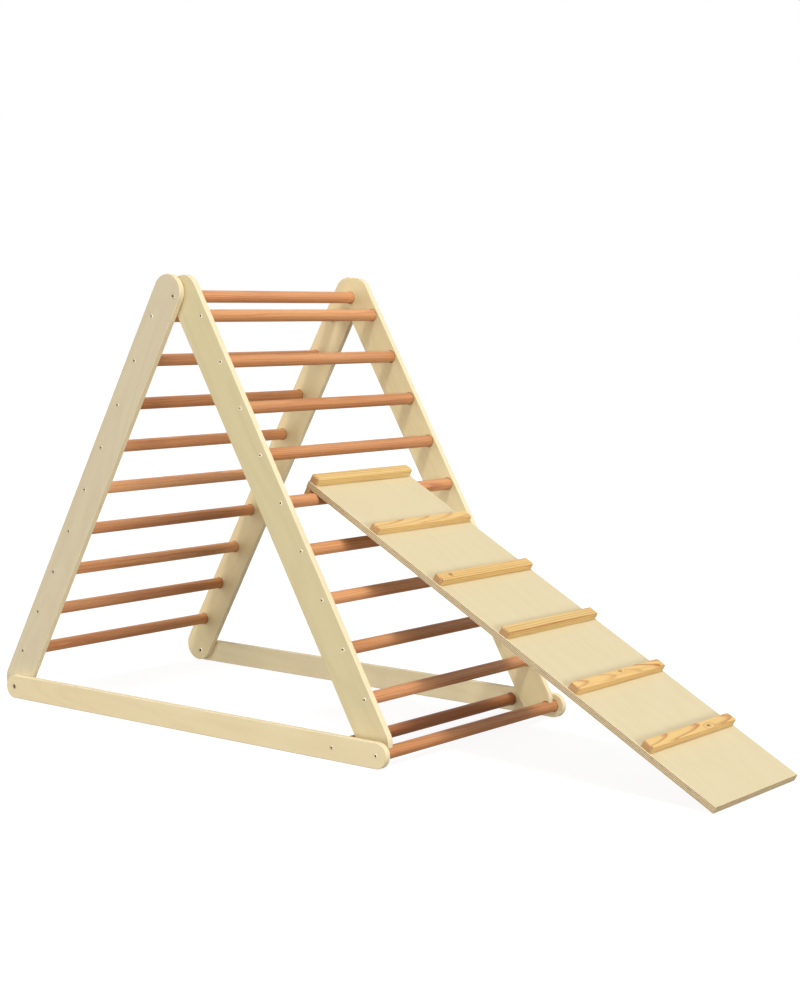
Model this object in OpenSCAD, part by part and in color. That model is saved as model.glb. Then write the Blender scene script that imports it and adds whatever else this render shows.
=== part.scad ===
// Folding climbing triangle with a cleated ramp.
// Two nine-rung ladders share an apex rung and stand on a hinged base frame;
// the front ladder is notched over the front base rung, and the ramp hooks
// over the fifth front rung. Millimetres, +Z up, floor at z = 0,
// +X towards the foot of the ramp, rungs along Y.

/* [Frame] */
// Width over the outer faces of the two base bars
frame_w = 680; // [600:5:760]
// Plywood thickness of rails and base bars
rail_t = 15; // [12:0.5:18]
// Width of the ladder rails
rail_w = 82; // [76:1:90]
// Running gap between neighbouring plywood planes
plane_gap = 0.5; // [0.4:0.1:1]
// Height of the apex pivot above the floor
apex_h = 975.5; // [900:5:1050]
// Lean of the rear ladder from the vertical
rear_lean = 28.6; // [27:0.1:30]
// Lean of the front ladder from the vertical
front_lean = 30.6; // [29:0.1:32]

/* [Rungs] */
// Diameter of every rung
rung_d = 28; // [26:0.5:30]
// Distance between neighbouring rungs along a ladder
rung_pitch = 116; // [108:0.5:118]
// Distance from the apex pivot to the first rung, along the ladder
rung_first = 72; // [66:1:80]
// Distance of the rung line from the apex pivot, square to the ladder
rung_off = 38.6; // [37:0.2:41]
// Rung line to the outer edge of a rear rail
rear_edge = 24; // [22:0.5:28]
// Rung line to the outer edge of a front rail
front_edge = 19.4; // [18:0.2:22]
// Depth of the rung sockets in the plywood
socket_depth = 6; // [4:0.5:8]

/* [Base] */
// Height of the base bars
base_h = 56; // [50:1:60]
// Distance between the two base rungs
base_rung_gap = 120; // [112:1:130]
// Radial clearance of the notch over the front base rung
notch_clear = 0.8; // [0.5:0.1:2]

/* [Ramp] */
// Width of the ramp board
ramp_w = 340; // [260:5:380]
// Thickness of the ramp board
ramp_t = 15; // [12:0.5:18]
// Sideways offset of the ramp from the middle
ramp_y = -31; // [-80:1:80]
// Distance from the apex to the foot of the ramp, along the floor
ramp_reach = 1315.7; // [1300:0.1:1330]
// Width of a cleat along the ramp
cleat_w = 25; // [20:0.5:30]
// Height of a cleat
cleat_h = 16; // [12:0.5:20]
// First cleat's lower edge from the foot
cleat_first = 171; // [150:1:190]
// Depth of the hook block below the board
hook_d = 22; // [20:0.5:28]
// Width of the hook block along the ramp; the board ends flush with it
hook_w = 16.4; // [14:0.2:30]

/* [Fasteners] */
// Diameter of a pivot bolt
bolt_d = 8; // [6:1:10]
// Diameter of a rung screw's head
screw_head_d = 10; // [9:0.5:12]

/* [Hidden] */
$fn = 96;

rungs = 9;
rung_r = rung_d / 2;
socket_r = rung_r + 0.15;
rail_r = rail_w / 2;
bolt_r = bolt_d / 2;
run_r = bolt_r + 0.05;        // running fit of a pivot bolt
head_r = 6.2;                 // pivot bolt head
head_t = 3.2;
screw_r = 2.5;
screw_head_r = screw_head_d / 2;
screw_head_t = 3;
rung_screw_len = 50;
washer_t = 1.8;
washer_r = 11;
washer_sink = 1.5;
eps = 0.01;

// Planes from the outside in: base bar, rear rail, front rail.
base_out = frame_w / 2;
base_in = base_out - rail_t;
rear_out = base_in - plane_gap;
rear_in = rear_out - rail_t;
front_out = rear_in - plane_gap;
front_in = front_out - rail_t;

// Ladder frames: "along" runs down the ladder from the apex pivot,
// "off" is square to it and points outwards.
function lx(side, along, off) =
    let (a = side < 0 ? rear_lean : front_lean)
    side * (along * sin(a) + off * cos(a));
function lz(side, along, off) =
    let (a = side < 0 ? rear_lean : front_lean)
    apex_h - along * cos(a) + off * sin(a);
// along at which a point with the given off has height z
function along_at(side, off, z) =
    let (a = side < 0 ? rear_lean : front_lean)
    (apex_h - z + off * sin(a)) / cos(a);

rear_mid = rung_off + rear_edge - rail_r;
front_mid = rung_off + front_edge - rail_r;
rail_top = 2;
rear_bot = along_at(-1, rear_mid, 44);
front_bot = along_at(1, front_mid, 48);
pivot_off = 8.8;
pivot_along = along_at(-1, pivot_off, base_h / 2);
hold_off = 33.2;
hold_along = along_at(1, hold_off, base_h / 2);
bx = lx(-1, pivot_along, pivot_off);      // base pivot
fx = lx(1, hold_along, hold_off);         // front base rung
dx = fx - base_rung_gap;                  // inner base rung

// Ramp: its underside is tangent to the fifth front rung.
hook_rung = 5;
ramp_gap = 0.4;
rung5_along = rung_first + (hook_rung - 1) * rung_pitch;
r5x = lx(1, rung5_along, rung_off);
r5z = lz(1, rung5_along, rung_off);
r5_dist = sqrt(pow(ramp_reach - r5x, 2) + pow(r5z, 2));
ramp_a = atan2(r5z, ramp_reach - r5x) + asin((rung_r + ramp_gap) / r5_dist);
r5_s = sqrt(pow(r5_dist, 2) - pow(rung_r + ramp_gap, 2));
hook_s = r5_s + rung_r + 0.6;
ramp_len = hook_s + hook_w;
cleats = 6;
cleat_pitch = (ramp_len - cleat_w - cleat_first) / (cleats - 1);
cleat_in = 1.3;
top_cleat_more = 3;           // the top cleat is a little higher
cleat_skin = 4;               // wood left over a cleat screw's tip

// The origin is at the middle of the footprint.
x_min = lx(-1, rear_bot, rear_mid) - rail_r;
x_max = ramp_reach + ramp_t * sin(ramp_a);
x0 = -(x_min + x_max) / 2;

birch = [0.85, 0.78, 0.60];
stain = [0.66, 0.38, 0.22];
pine = [0.92, 0.74, 0.45];
board = [0.92, 0.86, 0.72];
steel = [0.72, 0.72, 0.74];
nylon = [0.90, 0.90, 0.88];

// A plate in the XZ plane: its 2D outline is (x, z), from y to y + t.
module plate(y, t) {
    translate([x0, y + t, 0]) rotate([90, 0, 0]) linear_extrude(height = t) children();
}
// A cylinder along Y from y1 to y2.
module ycyl(x, z, y1, y2, r) {
    translate([x0 + x, y1, z]) rotate([-90, 0, 0]) cylinder(h = y2 - y1, r = r);
}
// Either side of the object: s = -1 is the near side, 1 the far side.
// a and b are distances from the middle plane.
module side_cyl(s, x, z, a, b, r) {
    if (s < 0) ycyl(x, z, -b, -a, r); else ycyl(x, z, a, b, r);
}
// A bar with full-round ends, lying along X at height y.
module stadium(x1, x2, y, r) {
    translate([x1, y]) circle(r = r);
    translate([x2, y]) circle(r = r);
    translate([x1, y - r]) square([x2 - x1, 2 * r]);
}
// A plate drawn in a ladder's own frame: 2D x is "along", 2D y is "off".
module ladder_plate(side, y, t) {
    a = side < 0 ? rear_lean : front_lean;
    translate([x0, y + t, apex_h]) rotate([90, 0, 0])
        mirror([side < 0 ? 1 : 0, 0, 0]) rotate([0, 0, a - 90])
            linear_extrude(height = t) children();
}
module rear_outline() {
    stadium(rail_top, rear_bot, rear_mid, rail_r);
}
module front_outline() {
    difference() {
        stadium(rail_top, front_bot, front_mid, rail_r);
        // notch that drops over the front base rung; it opens downwards
        translate([hold_along, hold_off]) {
            circle(r = rung_r + notch_clear);
            rotate(-20) translate([0, -rung_r - notch_clear + 0.3])
                square([80, 2 * (rung_r + notch_clear - 0.3)]);
        }
    }
}
module base_outline() {
    stadium(bx, fx, base_h / 2, base_h / 2);
}
// Screw hole, head recess and rung socket at one rung end.
module rung_seat(s, x, z, out, inn) {
    side_cyl(s, x, z, inn - 1, out + 1, screw_r + 0.2);
    side_cyl(s, x, z, out - screw_head_t - 0.1, out + 1, screw_head_r + 0.15);
    side_cyl(s, x, z, inn - 1, inn + socket_depth, socket_r);
}
// Rung between the sockets, with pilot holes for its end screws.
module rung(x, z, inn, pilot_r = screw_r + 0.1, pilot = rung_screw_len) {
    e = inn + socket_depth - 0.1;
    difference() {
        ycyl(x, z, -e, e, rung_r);
        for (s = [-1, 1]) side_cyl(s, x, z, e - pilot, e + 1, pilot_r);
    }
}
// Socket-head screw, head flush with the outer face.
module rung_screw(s, x, z, out) {
    difference() {
        union() {
            side_cyl(s, x, z, out - screw_head_t, out - 0.1, screw_head_r);
            side_cyl(s, x, z, out - rung_screw_len, out - screw_head_t + 0.5, screw_r);
        }
        hexhole(s, x, z, out - 2.2, out + 1, 4.2);
    }
}
module hexhole(s, x, z, a, b, d) {
    if (s < 0) translate([x0 + x, -b, z]) rotate([-90, 0, 0]) cylinder(h = b - a, d = d, $fn = 6);
    else translate([x0 + x, a, z]) rotate([-90, 0, 0]) cylinder(h = b - a, d = d, $fn = 6);
}

module rear_rail(s) {
    color(birch) difference() {
        ladder_plate(-1, s < 0 ? -rear_out : rear_in, rail_t) rear_outline();
        for (i = [0 : rungs - 1]) {
            a = rung_first + i * rung_pitch;
            rung_seat(s, lx(-1, a, rung_off), lz(-1, a, rung_off), rear_out, rear_in);
        }
        // apex pivot: running fit and head recess
        side_cyl(s, 0, apex_h, rear_in - 1, rear_out + 1, run_r);
        side_cyl(s, 0, apex_h, rear_out - head_t - 0.3, rear_out + 1, head_r + 0.4);
        // base pivot: running fit and sleeve-nut recess
        side_cyl(s, bx, base_h / 2, rear_in - 1, rear_out + 1, run_r);
        side_cyl(s, bx, base_h / 2, rear_in - 1, rear_in + head_t + 0.3, head_r + 0.4);
    }
}
module rear_rung(i) {
    a = rung_first + (i - 1) * rung_pitch;
    color(stain) rung(lx(-1, a, rung_off), lz(-1, a, rung_off), rear_in);
}
module rear_rung_screws() {
    color(steel) for (s = [-1, 1], i = [0 : rungs - 1]) {
        a = rung_first + i * rung_pitch;
        rung_screw(s, lx(-1, a, rung_off), lz(-1, a, rung_off), rear_out);
    }
}
module front_rail(s) {
    color(birch) difference() {
        ladder_plate(1, s < 0 ? -front_out : front_in, rail_t) front_outline();
        for (i = [0 : rungs - 1]) {
            a = rung_first + i * rung_pitch;
            rung_seat(s, lx(1, a, rung_off), lz(1, a, rung_off), front_out, front_in);
        }
        side_cyl(s, 0, apex_h, front_in - 1, front_out + 1, bolt_r + 0.1);
        side_cyl(s, 0, apex_h, front_in - 1, front_in + socket_depth, socket_r);
        side_cyl(s, 0, apex_h, front_out - washer_sink, front_out + 1, washer_r + 0.15);
    }
}
module front_rung(i) {
    a = rung_first + (i - 1) * rung_pitch;
    color(stain) rung(lx(1, a, rung_off), lz(1, a, rung_off), front_in);
}
module front_rung_screws() {
    color(steel) for (s = [-1, 1], i = [0 : rungs - 1]) {
        a = rung_first + i * rung_pitch;
        rung_screw(s, lx(1, a, rung_off), lz(1, a, rung_off), front_out);
    }
}
module apex_rung() {
    color(stain) rung(0, apex_h, front_in, bolt_r + 0.1, 55);
}
module apex_bolts() {
    color(steel) for (s = [-1, 1]) difference() {
        union() {
            side_cyl(s, 0, apex_h, rear_out - head_t, rear_out - 0.1, head_r);
            side_cyl(s, 0, apex_h, front_in - 42, rear_out - head_t + 0.5, bolt_r);
        }
        hexhole(s, 0, apex_h, rear_out - 2.6, rear_out + 1, 5.8);
    }
}
module apex_washers() {
    color(nylon) for (s = [-1, 1]) difference() {
        side_cyl(s, 0, apex_h, front_out - washer_sink, front_out - washer_sink + washer_t, washer_r);
        side_cyl(s, 0, apex_h, front_out - 5, front_out + 5, bolt_r + 0.1);
    }
}
module base_bar(s) {
    color(birch) difference() {
        plate(s < 0 ? -base_out : base_in, rail_t) base_outline();
        for (x = [fx, dx]) rung_seat(s, x, base_h / 2, base_out, base_in);
        side_cyl(s, bx, base_h / 2, base_in - 1, base_out + 1, bolt_r + 0.1);
        side_cyl(s, bx, base_h / 2, base_out - head_t - 0.1, base_out + 1, head_r + 0.15);
        side_cyl(s, bx, base_h / 2, base_in - 1, base_in + washer_sink, washer_r + 0.15);
    }
}
module base_rung_front() { color(stain) rung(fx, base_h / 2, base_in); }
module base_rung_inner() { color(stain) rung(dx, base_h / 2, base_in); }
module base_rung_screws() {
    color(steel) for (s = [-1, 1], x = [fx, dx]) rung_screw(s, x, base_h / 2, base_out);
}
module base_pivot_bolts() {
    color(steel) for (s = [-1, 1]) difference() {
        union() {
            side_cyl(s, bx, base_h / 2, base_out - head_t, base_out - 0.1, head_r);
            side_cyl(s, bx, base_h / 2, base_in - 2, base_out - head_t + 0.5, bolt_r);
            side_cyl(s, bx, base_h / 2, rear_in + 5, base_in - 1, 2.4);
        }
        hexhole(s, bx, base_h / 2, base_out - 2.6, base_out + 1, 5.8);
    }
}
module base_pivot_nuts() {
    color(steel) for (s = [-1, 1]) difference() {
        union() {
            side_cyl(s, bx, base_h / 2, rear_in + 0.1, rear_in + head_t, head_r);
            side_cyl(s, bx, base_h / 2, rear_in + head_t - 0.5, base_in - 2.2, bolt_r);
        }
        side_cyl(s, bx, base_h / 2, rear_in + 4, base_in + 5, 2.5);
        hexhole(s, bx, base_h / 2, rear_in - 1, rear_in + 2.6, 5.8);
    }
}
module base_pivot_washers() {
    color(nylon) for (s = [-1, 1]) difference() {
        side_cyl(s, bx, base_h / 2, base_in + washer_sink - washer_t, base_in + washer_sink, washer_r);
        side_cyl(s, bx, base_h / 2, base_in - 5, base_in + 5, bolt_r + 0.1);
    }
}
// Ramp frame: X runs up the ramp from its foot, Z is square to the board.
module on_ramp() {
    translate([x0 + ramp_reach, 0, 0]) rotate([0, ramp_a, 0]) mirror([1, 0, 0]) children();
}
screw_y = ramp_w / 2 - 50;
module ramp_board() {
    color(board) on_ramp() difference() {
        translate([0, ramp_y - ramp_w / 2, 0]) cube([ramp_len, ramp_w, ramp_t]);
        for (i = [0 : cleats - 1], y = [-1, 1])
            translate([cleat_first + i * cleat_pitch + cleat_w / 2, ramp_y + y * screw_y, 0]) {
                translate([0, 0, -1]) cylinder(h = ramp_t + 2, r = 2.1);
                translate([0, 0, -0.01]) cylinder(h = 2.4, r1 = 4.2, r2 = 2.1);
            }
        for (y = [-1, 0, 1])
            translate([hook_s + hook_w / 2, ramp_y + y * (screw_y - 40), -1])
                cylinder(h = 1 + 10.2, r = 1.85);
    }
}
module ramp_cleat(i) {
    color(pine) on_ramp() difference() {
        translate([cleat_first + (i - 1) * cleat_pitch, ramp_y - ramp_w / 2 + cleat_in, ramp_t])
            cube([cleat_w, ramp_w - 2 * cleat_in, cleat_h + (i == cleats ? top_cleat_more : 0)]);
        for (y = [-1, 1])
            translate([cleat_first + (i - 1) * cleat_pitch + cleat_w / 2, ramp_y + y * screw_y, ramp_t - 1])
                cylinder(h = 1 + cleat_h - cleat_skin + 0.2, r = 1.85);
    }
}
module ramp_cleat_screws() {
    color(steel) on_ramp() for (i = [0 : cleats - 1], y = [-1, 1])
        translate([cleat_first + i * cleat_pitch + cleat_w / 2, ramp_y + y * screw_y, 0.1]) difference() {
            union() {
                cylinder(h = 2.3, r1 = 4, r2 = 1.75);
                cylinder(h = ramp_t + cleat_h - cleat_skin, r = 1.75);
            }
            translate([0, 0, -1]) cylinder(h = 2.2, d = 2.9, $fn = 6);
        }
}
module ramp_hook_block() {
    color(pine) on_ramp() difference() {
        translate([hook_s, ramp_y - ramp_w / 2 + 0.5, -hook_d]) cube([hook_w, ramp_w - 1, hook_d]);
        for (y = [-1, 0, 1])
            translate([hook_s + hook_w / 2, ramp_y + y * (screw_y - 40), -hook_d]) {
                translate([0, 0, -1]) cylinder(h = hook_d + 2, r = 2.1);
                translate([0, 0, -0.01]) cylinder(h = 2.6, r1 = 4.3, r2 = 2.1);
            }
    }
}
module ramp_hook_screws() {
    color(steel) on_ramp() for (y = [-1, 0, 1])
        translate([hook_s + hook_w / 2, ramp_y + y * (screw_y - 40), -hook_d + 0.2]) difference() {
            union() {
                cylinder(h = 2.2, r1 = 3.9, r2 = 1.75);
                cylinder(h = hook_d + 9.6, r = 1.75);
            }
            translate([0, 0, -1]) cylinder(h = 2.2, d = 2.9, $fn = 6);
        }
}

rear_rail(-1);  // rear_rail_near
rear_rail(1);  // rear_rail_far
rear_rung(1);  // rear_rung_1
rear_rung(2);  // rear_rung_2
rear_rung(3);  // rear_rung_3
rear_rung(4);  // rear_rung_4
rear_rung(5);  // rear_rung_5
rear_rung(6);  // rear_rung_6
rear_rung(7);  // rear_rung_7
rear_rung(8);  // rear_rung_8
rear_rung(9);  // rear_rung_9
rear_rung_screws();
front_rail(-1);  // front_rail_near
front_rail(1);  // front_rail_far
front_rung(1);  // front_rung_1
front_rung(2);  // front_rung_2
front_rung(3);  // front_rung_3
front_rung(4);  // front_rung_4
front_rung(5);  // front_rung_5
front_rung(6);  // front_rung_6
front_rung(7);  // front_rung_7
front_rung(8);  // front_rung_8
front_rung(9);  // front_rung_9
front_rung_screws();
apex_rung();
apex_bolts();
apex_washers();
base_bar(-1);  // base_bar_near
base_bar(1);  // base_bar_far
base_rung_front();
base_rung_inner();
base_rung_screws();
base_pivot_bolts();
base_pivot_nuts();
base_pivot_washers();
ramp_board();
ramp_cleat(1);  // ramp_cleat_1
ramp_cleat(2);  // ramp_cleat_2
ramp_cleat(3);  // ramp_cleat_3
ramp_cleat(4);  // ramp_cleat_4
ramp_cleat(5);  // ramp_cleat_5
ramp_cleat(6);  // ramp_cleat_6
ramp_cleat_screws();
ramp_hook_block();
ramp_hook_screws();
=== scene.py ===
# Looks of the folding climbing triangle with its cleated ramp.
import bmesh
import bpy
import math
import random
from mathutils import Matrix, Vector
from mathutils.geometry import tessellate_polygon


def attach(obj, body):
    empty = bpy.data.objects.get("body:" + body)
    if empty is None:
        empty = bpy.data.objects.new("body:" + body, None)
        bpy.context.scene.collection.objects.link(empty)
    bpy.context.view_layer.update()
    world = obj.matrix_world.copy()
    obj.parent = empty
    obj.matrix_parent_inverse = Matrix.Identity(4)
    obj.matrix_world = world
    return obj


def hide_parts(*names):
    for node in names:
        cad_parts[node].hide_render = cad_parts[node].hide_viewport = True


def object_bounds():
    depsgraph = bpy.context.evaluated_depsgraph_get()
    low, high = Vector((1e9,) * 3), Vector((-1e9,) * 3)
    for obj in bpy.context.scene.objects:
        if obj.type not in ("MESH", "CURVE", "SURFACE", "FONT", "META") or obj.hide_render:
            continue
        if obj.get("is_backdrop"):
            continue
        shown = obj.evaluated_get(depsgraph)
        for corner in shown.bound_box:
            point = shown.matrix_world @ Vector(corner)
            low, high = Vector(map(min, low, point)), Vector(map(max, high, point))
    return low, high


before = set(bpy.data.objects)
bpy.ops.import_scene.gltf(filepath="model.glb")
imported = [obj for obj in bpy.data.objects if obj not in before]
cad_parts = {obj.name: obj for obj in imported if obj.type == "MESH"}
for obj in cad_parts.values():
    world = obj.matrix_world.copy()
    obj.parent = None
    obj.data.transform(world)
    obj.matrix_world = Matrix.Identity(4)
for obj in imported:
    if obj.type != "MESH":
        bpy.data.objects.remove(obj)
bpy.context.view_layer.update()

MM = 0.001
TAU = 2 * math.pi

# ---------------------------------------------------------------- dimensions
# The same driving sizes as the construction, in millimetres.
APEX_H = 975.5
REAR, FRONT = math.radians(28.6), math.radians(30.6)
RAIL_W, RAIL_T, GAP, FRAME_W = 82.0, 15.0, 0.5, 680.0
RUNG_R, PITCH, FIRST, OFF, SOCKET = 14.0, 116.0, 72.0, 38.6, 6.0
BASE_H = 56.0
RAMP_W, RAMP_T, RAMP_Y, REACH = 340.0, 15.0, -31.0, 1315.7
CLEAT_W, CLEAT_H, CLEAT_FIRST, HOOK_D, HOOK_W, CLEATS = 25.0, 16.0, 171.0, 22.0, 16.4, 6

RAIL_R = RAIL_W / 2
BASE_OUT = FRAME_W / 2
BASE_IN = BASE_OUT - RAIL_T
REAR_OUT = BASE_IN - GAP
REAR_IN = REAR_OUT - RAIL_T
FRONT_OUT = REAR_IN - GAP
FRONT_IN = FRONT_OUT - RAIL_T
REAR_MID, FRONT_MID, RAIL_TOP = OFF + 24 - RAIL_R, OFF + 19.4 - RAIL_R, 2.0


def lean(side):
    return REAR if side < 0 else FRONT


def lx(side, along, off):
    a = lean(side)
    return side * (along * math.sin(a) + off * math.cos(a))


def lz(side, along, off):
    a = lean(side)
    return APEX_H - along * math.cos(a) + off * math.sin(a)


def along_at(side, off, z):
    a = lean(side)
    return (APEX_H - z + off * math.sin(a)) / math.cos(a)


REAR_BOT = along_at(-1, REAR_MID, 44)
FRONT_BOT = along_at(1, FRONT_MID, 48)
PIVOT_ALONG = along_at(-1, 8.8, BASE_H / 2)
HOLD_ALONG = along_at(1, 33.2, BASE_H / 2)
BX = lx(-1, PIVOT_ALONG, 8.8)
FX = lx(1, HOLD_ALONG, 33.2)
DX = FX - 120
R5X, R5Z = lx(1, FIRST + 4 * PITCH, OFF), lz(1, FIRST + 4 * PITCH, OFF)
R5_DIST = math.hypot(REACH - R5X, R5Z)
RAMP_A = math.atan2(R5Z, REACH - R5X) + math.asin((RUNG_R + 0.4) / R5_DIST)
R5_S = math.sqrt(R5_DIST ** 2 - (RUNG_R + 0.4) ** 2)
HOOK_S = R5_S + RUNG_R + 0.6
RAMP_LEN = HOOK_S + HOOK_W
CLEAT_PITCH = (RAMP_LEN - CLEAT_W - CLEAT_FIRST) / (CLEATS - 1)
X_MIN = lx(-1, REAR_BOT, REAR_MID) - RAIL_R
X_MAX = REACH + RAMP_T * math.sin(RAMP_A)
X0 = -(X_MIN + X_MAX) / 2

# ------------------------------------------------------------------- camera
cam_data = bpy.data.cameras.new("camera")
cam = bpy.data.objects.new("camera", cam_data)
bpy.context.scene.collection.objects.link(cam)
bpy.context.scene.camera = cam
cam_data.sensor_fit = "AUTO"
cam_data.sensor_width = 36.0
cam_data.lens = 1957.36 * 36 / 1000
cam_data.clip_start, cam_data.clip_end = 0.05, 200.0
cam_data.dof.use_dof = False
right = Vector((0.787692, 0.616007, 0.008747)).normalized()
back = Vector((0.612011, -0.784051, 0.103475)).normalized()
up = back.cross(right).normalized()
cam.matrix_world = Matrix.Translation(Vector((2.718321, -3.459729, 0.979683))) @ Matrix((right, up, back)).transposed().to_4x4()


# ---------------------------------------------------------------- materials
class Nodes:
    """Small helper that builds a material's node tree."""

    def __init__(self, name):
        self.mat = bpy.data.materials.new(name)
        self.mat.use_nodes = True
        self.t = self.mat.node_tree
        self.t.nodes.clear()
        self.out = self.t.nodes.new("ShaderNodeOutputMaterial")
        self.bsdf = self.t.nodes.new("ShaderNodeBsdfPrincipled")
        self.t.links.new(self.bsdf.outputs[0], self.out.inputs[0])

    def put(self, socket, value):
        if isinstance(value, bpy.types.NodeSocket):
            self.t.links.new(value, socket)
        else:
            socket.default_value = value

    def attr(self, name, out="Vector"):
        n = self.t.nodes.new("ShaderNodeAttribute")
        n.attribute_type = "GEOMETRY"
        n.attribute_name = name
        return n.outputs[out]

    def math(self, op, a, b=0.0, c=0.0, clamp=False):
        n = self.t.nodes.new("ShaderNodeMath")
        n.operation = op
        n.use_clamp = clamp
        for s, v in zip(n.inputs, (a, b, c)):
            self.put(s, v)
        return n.outputs[0]

    def vec(self, x, y, z):
        n = self.t.nodes.new("ShaderNodeCombineXYZ")
        for s, v in zip(n.inputs, (x, y, z)):
            self.put(s, v)
        return n.outputs[0]

    def split(self, v):
        n = self.t.nodes.new("ShaderNodeSeparateXYZ")
        self.put(n.inputs[0], v)
        return n.outputs[0], n.outputs[1], n.outputs[2]

    def scaled(self, v, k, shift=None):
        n = self.t.nodes.new("ShaderNodeVectorMath")
        n.operation = "MULTIPLY"
        self.put(n.inputs[0], v)
        n.inputs[1].default_value = k
        if shift is None:
            return n.outputs[0]
        m = self.t.nodes.new("ShaderNodeVectorMath")
        m.operation = "ADD"
        self.put(m.inputs[0], n.outputs[0])
        self.put(m.inputs[1], shift)
        return m.outputs[0]

    def noise(self, v, scale=1.0, detail=2.0, rough=0.5, distortion=0.0):
        n = self.t.nodes.new("ShaderNodeTexNoise")
        self.put(n.inputs["Vector"], v)
        n.inputs["Scale"].default_value = scale
        n.inputs["Detail"].default_value = detail
        n.inputs["Roughness"].default_value = rough
        n.inputs["Distortion"].default_value = distortion
        return n.outputs["Fac"]

    def voronoi(self, v, scale=1.0, randomness=1.0):
        n = self.t.nodes.new("ShaderNodeTexVoronoi")
        n.feature = "F1"
        self.put(n.inputs["Vector"], v)
        n.inputs["Scale"].default_value = scale
        n.inputs["Randomness"].default_value = randomness
        return n.outputs["Distance"], n.outputs["Color"]

    def range(self, v, a, b, lo=0.0, hi=1.0, smooth=True):
        n = self.t.nodes.new("ShaderNodeMapRange")
        n.interpolation_type = "SMOOTHSTEP" if smooth else "LINEAR"
        n.clamp = True
        for s, x in zip(n.inputs, (v, a, b, lo, hi)):
            self.put(s, x)
        return n.outputs[0]

    def mix(self, fac, a, b, mode="MIX"):
        n = self.t.nodes.new("ShaderNodeMix")
        n.data_type = "RGBA"
        n.blend_type = mode
        n.clamp_factor = True
        self.put(n.inputs[0], fac)
        self.put(n.inputs[6], a if isinstance(a, bpy.types.NodeSocket) else (*a, 1.0))
        self.put(n.inputs[7], b if isinstance(b, bpy.types.NodeSocket) else (*b, 1.0))
        return n.outputs[2]

    def bump(self, height, strength=0.2, distance=0.0002, normal=None):
        n = self.t.nodes.new("ShaderNodeBump")
        n.inputs["Strength"].default_value = strength
        n.inputs["Distance"].default_value = distance
        self.put(n.inputs["Height"], height)
        if normal is not None:
            self.put(n.inputs["Normal"], normal)
        return n.outputs[0]

    def finish(self, colour, roughness, normal=None, **constants):
        self.put(self.bsdf.inputs["Base Color"], colour if isinstance(colour, bpy.types.NodeSocket) else (*colour, 1.0))
        self.put(self.bsdf.inputs["Roughness"], roughness)
        if normal is not None:
            self.put(self.bsdf.inputs["Normal"], normal)
        for k, v in constants.items():
            self.bsdf.inputs[k.replace("_", " ")].default_value = v
        return self.mat


def srgb(r, g, b):
    """8-bit sRGB to linear."""
    def one(c):
        c /= 255.0
        return c / 12.92 if c <= 0.04045 else ((c + 0.055) / 1.055) ** 2.4
    return (one(r), one(g), one(b))


def grain_inputs(n):
    """gc is the place in the piece in metres: x along the grain, y across, z through."""
    g = n.attr("gc")
    seed = n.attr("seed", "Fac")
    shift = n.vec(seed, n.math("MULTIPLY", seed, 1.7), n.math("MULTIPLY", seed, 2.3))
    return g, seed, shift


def veneer(name, pale, mid, deep, contrast=1.0):
    """Rotary-cut birch veneer: broad soft figure, fine fibre, short flecks. tone tells one sheet of birch
    from another, greyer or yellower; on the far rails it also lightens the birch as painted light."""
    n = Nodes(name)
    g, seed, shift = grain_inputs(n)
    flat = n.scaled(g, (1.0, 1.0, 0.0))
    # the slow figure of a peeled log: contour lines of a stretched noise field
    field = n.noise(n.scaled(flat, (1.3, 7.0, 1.0), shift), 1.0, 1.5, 0.45, 0.2)
    contour = n.math("SINE", n.math("MULTIPLY", field, 78.0))
    contour = n.range(contour, -0.2, 1.0)
    band = n.noise(n.scaled(flat, (2.2, 34.0, 1.0), shift), 1.0, 3.0, 0.55)
    cloud = n.noise(n.scaled(flat, (3.1, 5.0, 1.0), shift), 1.0, 2.0, 0.5)
    fibre = n.noise(n.scaled(flat, (45.0, 1500.0, 1.0), shift), 1.0, 2.0, 0.6)
    fleck = n.noise(n.scaled(flat, (150.0, 2600.0, 1.0), shift), 1.0, 1.0, 0.5)
    fleck = n.range(fleck, 0.66, 0.76)
    ray = n.noise(n.scaled(flat, (95.0, 420.0, 1.0), shift), 1.0, 2.0, 0.5)
    c = n.mix(n.math("MULTIPLY", n.range(band, 0.32, 0.68), 0.8 * contrast), pale, mid)
    c = n.mix(n.math("MULTIPLY", contour, 0.20 * contrast), c, deep)
    c = n.mix(n.math("MULTIPLY", n.range(cloud, 0.4, 0.75), 0.30 * contrast), c, mid)
    c = n.mix(n.math("MULTIPLY", n.range(fibre, 0.45, 0.75), 0.22 * contrast), c, deep)
    c = n.mix(n.math("MULTIPLY", fleck, 0.35 * contrast), c, deep)
    c = n.mix(n.math("MULTIPLY", n.range(ray, 0.5, 0.8), 0.12), c, pale)
    c = n.mix(1.0, c, n.attr("tone"), "MULTIPLY")
    height = n.math("ADD", n.math("MULTIPLY", fibre, -0.6), n.math("MULTIPLY", fleck, -0.8))
    rough = n.range(fibre, 0.2, 0.8, 0.40, 0.52)
    return n.finish(c, rough, n.bump(height, 0.22, 0.00008), Specular_IOR_Level=0.42, Coat_Weight=0.10, Coat_Roughness=0.32)


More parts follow.
